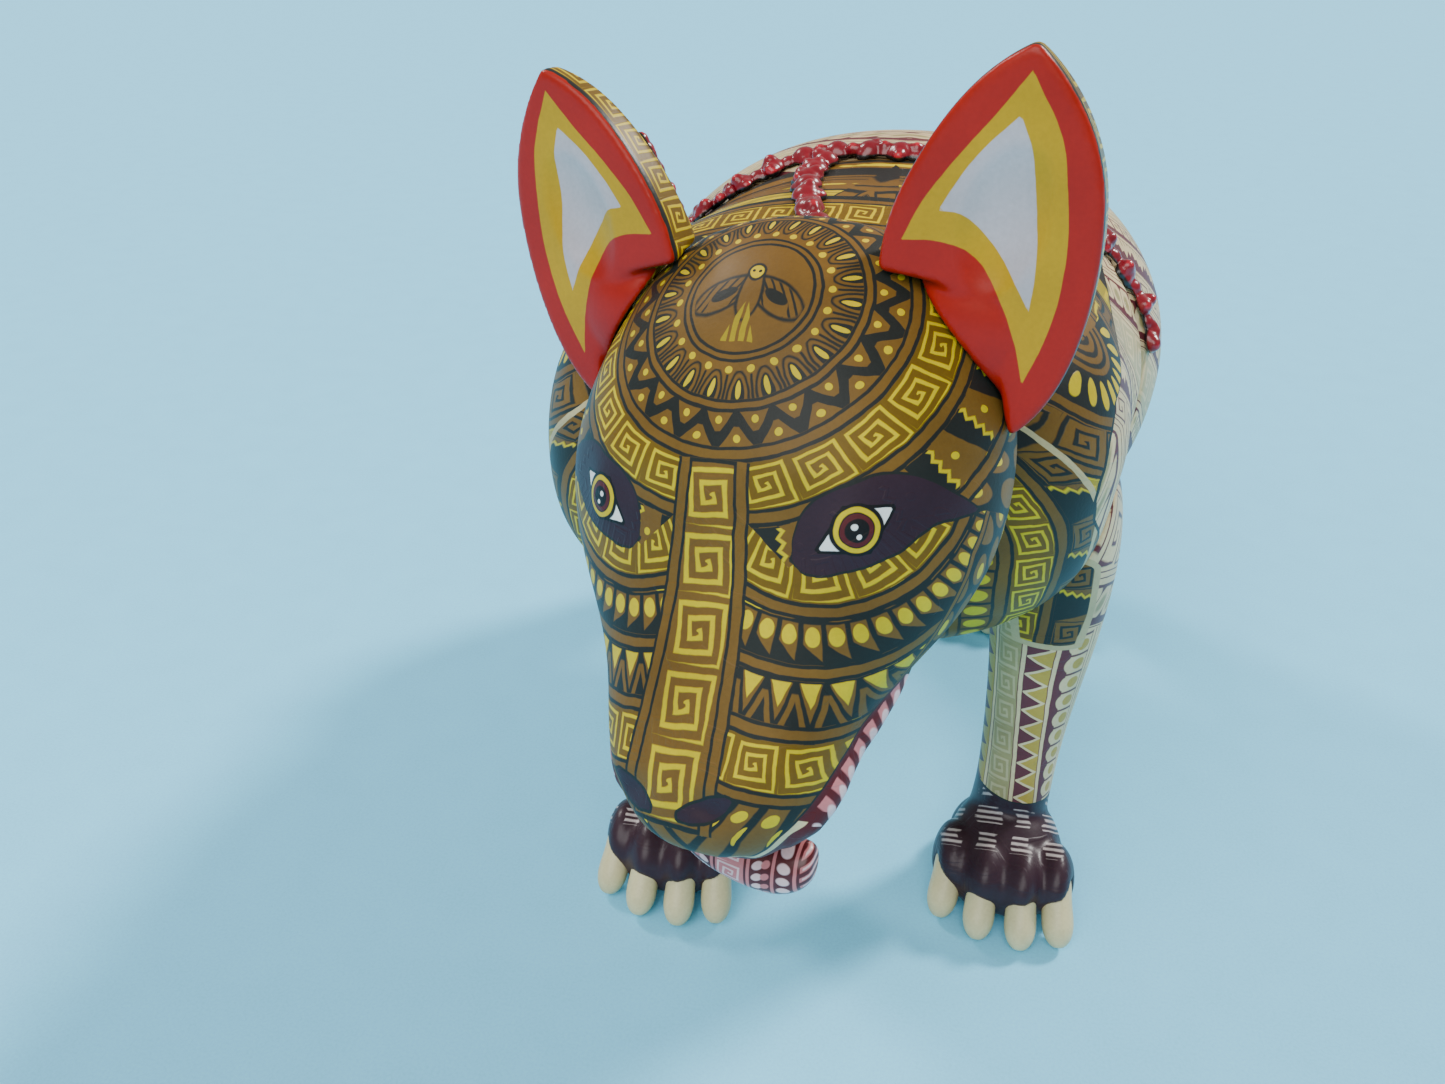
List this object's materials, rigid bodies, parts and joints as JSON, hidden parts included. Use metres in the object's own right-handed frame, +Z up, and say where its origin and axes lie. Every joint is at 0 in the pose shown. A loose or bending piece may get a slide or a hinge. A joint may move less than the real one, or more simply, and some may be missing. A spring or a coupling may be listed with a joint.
{
  "type": "alebrije figure",
  "caption": "Painted wooden wolf figure on four paws with lowered head, plug-in ears, plug-in tail, red crest and curling tongue, covered in banded fret patterns.",
  "frame": {"origin": "middle of the footprint, on the floor that the paws stand on", "axes": "+Z up; the figure faces -Y with its tail towards +Y; its left side is +X"},
  "size_m": [0.2062, 0.4552, 0.3251],
  "materials": {
    "golden_paint": "hand painted, satin",
    "cream_paint": "hand painted, satin",
    "ear_red_paint": "hand painted, matt",
    "crest_red": "thick glossy paint",
    "claw_paint": "hand painted, satin",
    "tongue_paint": "hand painted, satin",
    "jaw_paint": "hand painted, satin",
    "bare_wood": "bare, sanded"
  },
  "bodies": {
    "body": {"claw_fore_left_1": "claw_paint", "claw_fore_left_2": "claw_paint", "claw_fore_left_3": "claw_paint", "claw_fore_left_4": "claw_paint", "claw_fore_right_1": "claw_paint", "claw_fore_right_2": "claw_paint", "claw_fore_right_3": "claw_paint", "claw_fore_right_4": "claw_paint", "claw_hind_left_1": "claw_paint", "claw_hind_left_2": "claw_paint", "claw_hind_left_3": "claw_paint", "claw_hind_left_4": "claw_paint", "claw_hind_right_1": "claw_paint", "claw_hind_right_2": "claw_paint", "claw_hind_right_3": "claw_paint", "claw_hind_right_4": "claw_paint", "crest_back": "crest_red", "crest_nape": "crest_red", "crest_shoulder_left": "crest_red", "crest_shoulder_right": "crest_red", "dowel_foreleg_left": "bare_wood", "dowel_foreleg_right": "bare_wood", "dowel_head": "bare_wood", "dowel_hindleg_left": "bare_wood", "dowel_hindleg_right": "bare_wood", "dowel_neck": "bare_wood", "foreleg_left": "cream_paint", "foreleg_right": "cream_paint", "head": "golden_paint", "hindleg_left": "cream_paint", "hindleg_right": "cream_paint", "lower_jaw": "jaw_paint", "neck_block": "golden_paint", "tongue": "tongue_paint", "trunk": "cream_paint"},
    "ear_left_body": {"ear_left": "ear_red_paint", "ear_left_peg": "bare_wood"},
    "ear_right_body": {"ear_right": "ear_red_paint", "ear_right_peg": "bare_wood", "crest_ear": "crest_red"},
    "tail_peg_body": {"tail_peg": "bare_wood"},
    "tail_body": {"tail": "cream_paint"}
  },
  "joints": [
    {"name": "ear_left_pull", "type": "slide", "parent": "body", "child": "ear_left_body", "axis": [0.1994, 0.0031, 0.9799], "range_m": [0, 0.018]},
    {"name": "ear_right_pull", "type": "slide", "parent": "body", "child": "ear_right_body", "axis": [-0.3693, 0.1518, 0.9168], "range_m": [0, 0.018]},
    {"name": "tail_pull", "type": "slide", "parent": "body", "child": "tail_peg_body", "axis": [0, 1, 0], "range_m": [0, 0.022]},
    {"name": "tail_turn", "type": "hinge", "parent": "tail_peg_body", "child": "tail_body", "pos_m": [0, 0.1735, 0.2], "axis": [0, 1, 0], "range_deg": [-30, 30]}
  ]
}
